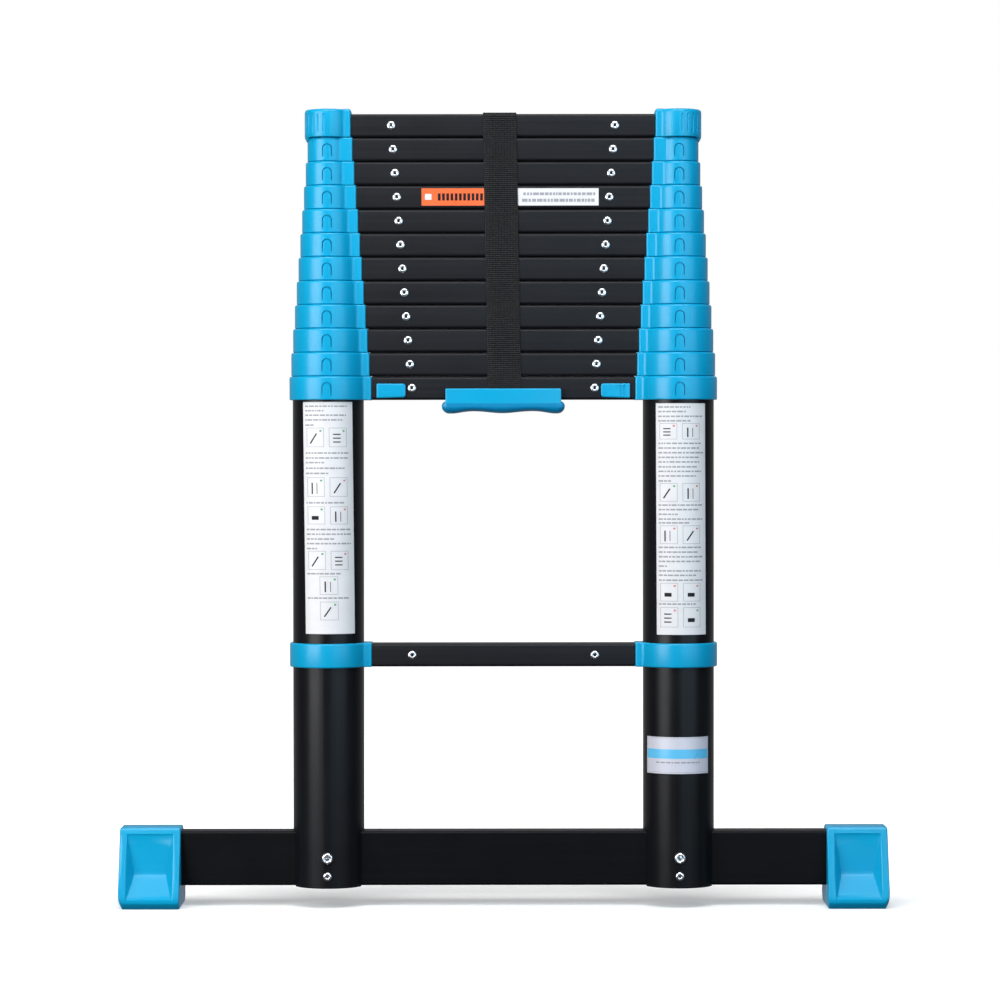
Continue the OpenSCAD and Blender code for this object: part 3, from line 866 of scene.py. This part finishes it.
def strap():
    """Webbing that hangs from the top rung at the front and the back, with a rib every 2.2 mm."""
    gap = 0.2 + STRAP_T / 2
    y = RUNG_HALF_D + gap
    top = mid_z(LAST) + RUNG_H / 2 + gap
    corner = 3.0 + gap
    path = [(-y, STRAP_FOOT_Z), (-y, top - corner)]
    path += arc(-y + corner, top - corner, corner, 180, 90, 8)[1:]
    path += arc(y - corner, top - corner, corner, 90, 0, 8)
    path += [(y, STRAP_FOOT_Z)]
    lengths = [0.0]
    for (y0, z0), (y1, z1) in zip(path, path[1:]):
        lengths.append(lengths[-1] + math.hypot(y1 - y0, z1 - z0))
    total = lengths[-1]
    rib, per_rib, rise = 2.2, 4, 0.34
    count = int(total / rib) * per_rib
    loops = []
    seg = 0
    for i in range(count + 1):
        s = total * i / count
        while seg < len(lengths) - 2 and s > lengths[seg + 1]:
            seg += 1
        (y0, z0), (y1, z1) = path[seg], path[seg + 1]
        t = (s - lengths[seg]) / (lengths[seg + 1] - lengths[seg])
        py, pz = y0 + (y1 - y0) * t, z0 + (z1 - z0) * t
        d = math.hypot(y1 - y0, z1 - z0)
        ny, nz = -(z1 - z0) / d, (y1 - y0) / d
        cx = STRAP_MID_X + STRAP_LEAN * max(0.0, (top - pz)) / (top - STRAP_FOOT_Z)
        h = STRAP_T / 2 - 0.36 + rise * math.cos(2 * math.pi * i / per_rib)
        half = STRAP_W / 2 - (0.12 if i % per_rib == per_rib // 2 else 0.0)
        section = [(-half, 0.0), (-half + 0.25, 0.62 * h), (-half + 0.9, 1.06 * h), (-half + 2.2, 1.12 * h),
                   (-half + 2.9, 0.86 * h)]
        inner = [(u, h) for u in (-half + 3.4, -half / 2, 0.0, half / 2, half - 3.4)]
        right = [(-u, v) for u, v in section[::-1]]
        upper = section + inner + right
        lower = [(u, -v) for u, v in upper[-2:0:-1]]
        loops.append([(cx + u, py + ny * v, pz + nz * v) for u, v in upper + lower])
    shell = Shell()
    shell.loft(loops)
    obj = piece("webbing_strap", shell, [WEB], "section_13", ["strap"], sharp=60)


strap()

# ------------------------------------------------------------------ printed films

# Underside of the ink above its film, and the longest step of a bar round a tube
INK_LOW, INK_STEP = 0.08, 2.5


def steps_over(length):
    """How many steps keep a bar on a round tube close to its surface."""
    return max(1, math.ceil(length / INK_STEP))


class Film:
    """Printed film. place(s, z, h) maps a point across it, a height and a distance off the surface."""

    def __init__(self, place, seed):
        self.place, self.shell, self.chance = place, Shell(), random.Random(seed)

    def quad(self, corners, low, high, slot, steps=1):
        """Closed thin sheet over a (s, z) quadrilateral, split into steps across its width."""
        (ax, az), (bx, bz), (cx, cz), (dx, dz) = corners
        loops = []
        for i in range(steps + 1):
            t = i / steps
            bottom = (ax + (bx - ax) * t, az + (bz - az) * t)
            top = (dx + (cx - dx) * t, dz + (cz - dz) * t)
            loops.append([self.place(*bottom, low), self.place(*bottom, high),
                          self.place(*top, high), self.place(*top, low)])
        self.shell.loft(loops, slot=slot)

    def sheet(self, s0, s1, z0, z1, slot=0, steps=24):
        self.quad(box(s0, s1, z0, z1), 0.0, 0.14, slot, steps)

    def bar(self, s0, s1, z0, z1, slot=1):
        self.quad(box(s0, s1, z0, z1), INK_LOW, 0.24, slot, steps_over(s1 - s0))

    def stroke(self, points, w, slot=2):
        """Line of width w through the points."""
        for (x0, z0), (x1, z1) in zip(points, points[1:]):
            d = math.hypot(x1 - x0, z1 - z0)
            nx, nz = -(z1 - z0) / d * w / 2, (x1 - x0) / d * w / 2
            ex, ez = (x1 - x0) / d * w / 3, (z1 - z0) / d * w / 3
            corners = [(x0 - nx - ex, z0 - nz - ez), (x1 - nx + ex, z1 - nz + ez),
                       (x1 + nx + ex, z1 + nz + ez), (x0 + nx - ex, z0 + nz - ez)]
            self.quad(corners, INK_LOW, 0.25, slot, steps_over(abs(x1 - x0)))

    def words(self, s0, s1, z, h=1.7, slot=1):
        """A line of plain bars of uneven length, in place of print."""
        s = s0
        while s < s1 - 1.2:
            w = min(self.chance.uniform(1.8, 6.4), s1 - s)
            self.bar(s, s + w, z - h / 2, z + h / 2, slot)
            s += w + self.chance.uniform(0.8, 1.2)

    def frame(self, s0, s1, z0, z1, w=0.45):
        for bar in ((s0, s1, z1 - w, z1), (s0, s1, z0, z0 + w),
                    (s0, s0 + w, z0 + w, z1 - w), (s1 - w, s1, z0 + w, z1 - w)):
            self.bar(*bar)

    def sign(self, kind, s0, z0, w, h):
        """Framed box with a plain mark and a dot in it, green for a kind that starts with + and else red."""
        self.frame(s0, s0 + w, z0, z0 + h)
        mx, mz = s0 + w * 0.82, z0 + h * 0.84
        self.stroke([(mx - 0.5, mz), (mx + 0.5, mz)], 1.9, 4 if kind[0] == "+" else 3)
        for width, *points in DRAWINGS[kind[1:]]:
            self.stroke([(s0 + w * u, z0 + h * v) for u, v in points], width)


# Plain abstract marks: lines of (width, points as shares of the box)
DRAWINGS = {
    "bars": [(1.2, (0.24, v), (0.62, v)) for v in (0.26, 0.46, 0.66)],
    "slant": [(1.5, (0.24, 0.20), (0.58, 0.68))],
    "posts": [(1.5, (0.30, 0.16), (0.30, 0.70)), (0.7, (0.58, 0.16), (0.58, 0.70))],
    "block": [(4.2, (0.32, 0.36), (0.58, 0.36))],
}


def on_leg(side, centre, lean, z_top, width):
    """Surface of a leg tube. The film's middle is at the angle centre, and drifts by lean over lean_over."""
    lean_over, gap = 250, 0.01

    def place(s, z, h):
        a = math.radians(centre + lean * (z_top - z) / lean_over) + (s - width / 2) / LEG_R
        r = LEG_R + gap + h
        return side * COLUMN_X + r * math.sin(a), -r * math.cos(a), z
    return place


def leg_film(name, side, centre, lean, z0, z1, rows, seed):
    """Film with lines of bars and framed marks. A row is (z, share of width) or (z0, height, kinds)."""
    width, margin, line, sign_w = 58.6, 3.2, 52.0, 20.0
    film = Film(on_leg(side, centre, lean, z1, width), seed)
    film.sheet(0, width, z0, z1)
    for row in rows:
        if len(row) == 2:
            film.words(margin, margin + line * row[1], row[0])
        else:
            low, height, kinds = row
            for s0, kind in zip((4.8, 30.4) if len(kinds) == 2 else (17.8,), kinds):
                film.sign(kind, s0, low, sign_w, height)
    inks = [WHITE_FILM, GREY_INK, BLACK_INK, RED_INK, GREEN_INK]
    piece(name, film.shell, inks, "base", sharp=20)


LEFT_ROWS = [
    (546.5, 0.92), (541.7, 0.42), (536.8, 0.90), (531.7, 0.82), (526.1, 0.20),
    (502.3, 20.8, ("+slant", "+bars")),
    (495.8, 0.97), (490.4, 0.93), (485.4, 0.42), (479.3, 0.86), (473.7, 0.50),
    (448.5, 20.8, ("+posts", "-slant")),
    (441.8, 0.84),
    (418.5, 19.2, ("+block", "-posts")),
    (412.8, 0.98), (407.7, 0.98), (402.5, 0.62), (397.5, 0.98), (392.1, 0.24),
    (369.1, 20.4, ("+slant", "-bars")),
    (364.8, 0.74),
    (342.2, 19.6, ("+posts",)),
    (338.4, 0.92),
    (314.5, 19.9, ("+slant",)),
]
RIGHT_ROWS = [
    (545.3, 0.70), (540.4, 0.60), (535.2, 0.98), (530.3, 0.70),
    (510.3, 17.4, ("-bars", "-posts")),
    (505.9, 0.98), (500.8, 0.90), (495.7, 1.0), (490.7, 0.90), (485.7, 0.90), (480.4, 0.85), (475.5, 0.95),
    (470.5, 0.82), (465.1, 0.28),
    (442.8, 19.9, ("+slant", "-posts")),
    (438.9, 0.97), (434.0, 0.90), (428.9, 0.42), (423.7, 0.97), (419.6, 0.66),
    (396.8, 19.9, ("-posts", "-slant")),
    (393.0, 0.93), (387.9, 0.85), (382.8, 0.97), (377.8, 0.93), (372.6, 0.20), (367.5, 0.93), (362.7, 0.82),
    (357.4, 0.97),
    (334.4, 19.9, ("-block", "-block")),
    (331.5, 0.82),
    (306.3, 21.7, ("-bars", "+block")),
]

leg_film("notice_left", -1, 1.2, 5.3, 299.4, 551.2, LEFT_ROWS, 11)
leg_film("notice_right", 1, 1.8, 1.9, 298.1, 549.4, RIGHT_ROWS, 23)


def side_sticker():
    """Small film low on the right leg, with a plain pale-blue band."""
    width, z0, z1, edge = 78.8, 147.0, 186.9, 1.6
    film = Film(on_leg(1, -5.4, 0.0, z1, width), 5)
    film.sheet(0, width, z0, z1, steps=32)
    film.frame(edge, width - edge, z0 + edge, z1 - 0.9, 0.25)
    film.quad(box(0.9, width - 0.9, 163.4, 173.6), INK_LOW, 0.21, 2, 32)
    film.words(15, width - 13, 159.2, 1.5)
    piece("side_sticker", film.shell, [PLAIN_FILM, GREY_INK, PALE_FILM], "base", sharp=20)


def rung_strip():
    """Two-coloured film on the face of the tenth rung, with plain bars in place of print."""
    z, low, high, middle = mid_z(10), -9.3, 9.5, 2.0
    film = Film(lambda s, dz, h: (s, -RUNG_HALF_D - 0.02 - h, z + dz), 8)
    film.sheet(-88.8, middle, low, high, 0, 2)
    film.sheet(middle, 104.0, low, high, 1, 2)
    for k in range(11):
        s0 = -71.0 + 4.6 * k
        film.quad(box(s0, s0 + 3.0, -3.8, 4.0), INK_LOW, 0.20, 3)
    film.quad(box(-85.0, -78.0, -3.0, 3.4), INK_LOW, 0.20, 1)
    film.words(22.0, 101.5, 3.4, 3.0, 2)
    film.words(20.5, 101.5, -3.6, 3.4, 2)
    inks = [ORANGE_FILM, WHITE_FILM, GREY_INK, BLACK_INK]
    piece("rung_strip", film.shell, inks, "section_10", sharp=20)


side_sticker()
rung_strip()

# ------------------------------------------------------------------ studio


def area_light(name, place, target, width, height, power, colour=(1, 1, 1)):
    data = bpy.data.lights.new(name, "AREA")
    data.shape, data.size, data.size_y = "RECTANGLE", width, height
    data.energy, data.color = power, colour
    lamp = bpy.data.objects.new(name, data)
    lamp.location = place
    lamp.rotation_mode = "QUATERNION"
    lamp.rotation_quaternion = (Vector(target) - Vector(place)).to_track_quat("-Z", "Y")
    lamp.visible_camera = False
    bpy.context.scene.collection.objects.link(lamp)


def studio_floor():
    """Pale disc that brightens to white away from the ladder. It sends no light back to the ladder."""
    f = Finish("studio_floor", (0.86, 0.86, 0.86), 0.9, specular=0.1)
    f.bump(f.noise(30.0, 3.0), 0.05, 0.2)
    away = f.node("ShaderNodeVectorMath", operation="DISTANCE")
    away.inputs[1].default_value = (0.0, -0.35, 0.0)
    f.tree.links.new(f.place, away.inputs[0])
    glow = f.ramp(away.outputs["Value"], 0.22, 0.95, 0.45, 1.35)
    f.shader.inputs["Emission Color"].default_value = (1, 1, 1, 1)
    f.tree.links.new(glow, f.shader.inputs["Emission Strength"])
    shell = Shell()
    top, edge_r, thick = -0.02, 10000, 30
    rings = [(200 + (edge_r - 200) * (i / 12) ** 1.6, top) for i in range(13)]
    shell.lathe([(0, top)] + rings + [(edge_r, -thick), (0, -thick)], lambda u, v, h: (u, v, h), 96)
    obj = bpy.data.objects.new("studio_floor", to_mesh("studio_floor", shell, [f.mat]))
    obj.visible_diffuse = obj.visible_glossy = False
    bpy.context.scene.collection.objects.link(obj)


def world_light(front, back):
    """A white backdrop for the camera. Surfaces see it bright behind the ladder and dim in front of it."""
    world = bpy.data.worlds.new("studio")
    bpy.context.scene.world = world
    world.use_nodes = True
    tree = world.node_tree
    tree.nodes.clear()
    out = tree.nodes.new("ShaderNodeOutputWorld")
    mix = tree.nodes.new("ShaderNodeMixShader")
    dim, white = tree.nodes.new("ShaderNodeBackground"), tree.nodes.new("ShaderNodeBackground")
    white.inputs["Color"].default_value = (1, 1, 1, 1)
    direction, axes = tree.nodes.new("ShaderNodeTexCoord"), tree.nodes.new("ShaderNodeSeparateXYZ")
    tree.links.new(direction.outputs["Generated"], axes.inputs[0])
    span = tree.nodes.new("ShaderNodeMapRange")
    span.interpolation_type = "SMOOTHSTEP"
    span.inputs["From Min"].default_value, span.inputs["From Max"].default_value = 0.1, 0.85
    tree.links.new(axes.outputs["Y"], span.inputs["Value"])
    tint = tree.nodes.new("ShaderNodeMix")
    tint.data_type = "RGBA"
    tint.inputs["A"].default_value, tint.inputs["B"].default_value = (*front, 1), (*back, 1)
    tree.links.new(span.outputs["Result"], tint.inputs["Factor"])
    tree.links.new(tint.outputs["Result"], dim.inputs["Color"])
    path = tree.nodes.new("ShaderNodeLightPath")
    tree.links.new(path.outputs["Is Camera Ray"], mix.inputs[0])
    tree.links.new(dim.outputs[0], mix.inputs[1])
    tree.links.new(white.outputs[0], mix.inputs[2])
    tree.links.new(mix.outputs[0], out.inputs["Surface"])


studio_floor()
world_light((0.06, 0.06, 0.062), (0.34, 0.34, 0.35))
area_light("soft_left", (-1.583, -1.528, 0.80), (0, 0, 0.80), 1.43, 1.5, 47)
area_light("soft_right", (1.23, -1.824, 0.80), (0, 0, 0.80), 2.1, 1.5, 26, (0.62, 0.84, 1.0))
area_light("soft_top", (0.0, -1.6, 2.7), (0, 0, 0.5), 2.6, 1.4, 74)
area_light("soft_back", (0.0, 2.0, 2.9), (0, 0, 0.5), 2.4, 1.2, 14)

camera_data = bpy.data.cameras.new("camera")
camera_data.sensor_width = 36.0
camera_data.lens = 133.2
camera_data.clip_start, camera_data.clip_end = 0.1, 60.0
camera = bpy.data.objects.new("camera", camera_data)
camera_x, aim_z, roll = -0.0037, 0.4441, math.radians(-0.06)
camera.location = (camera_x, -4.05, 0.5031)
camera.rotation_mode = "QUATERNION"
aim = (Vector((camera_x, 0.0, aim_z)) - camera.location).to_track_quat("-Z", "Y")
camera.rotation_quaternion = aim @ Matrix.Rotation(roll, 4, "Z").to_quaternion()
bpy.context.scene.collection.objects.link(camera)
bpy.context.scene.camera = camera
bpy.context.scene.view_settings.view_transform = "Standard"
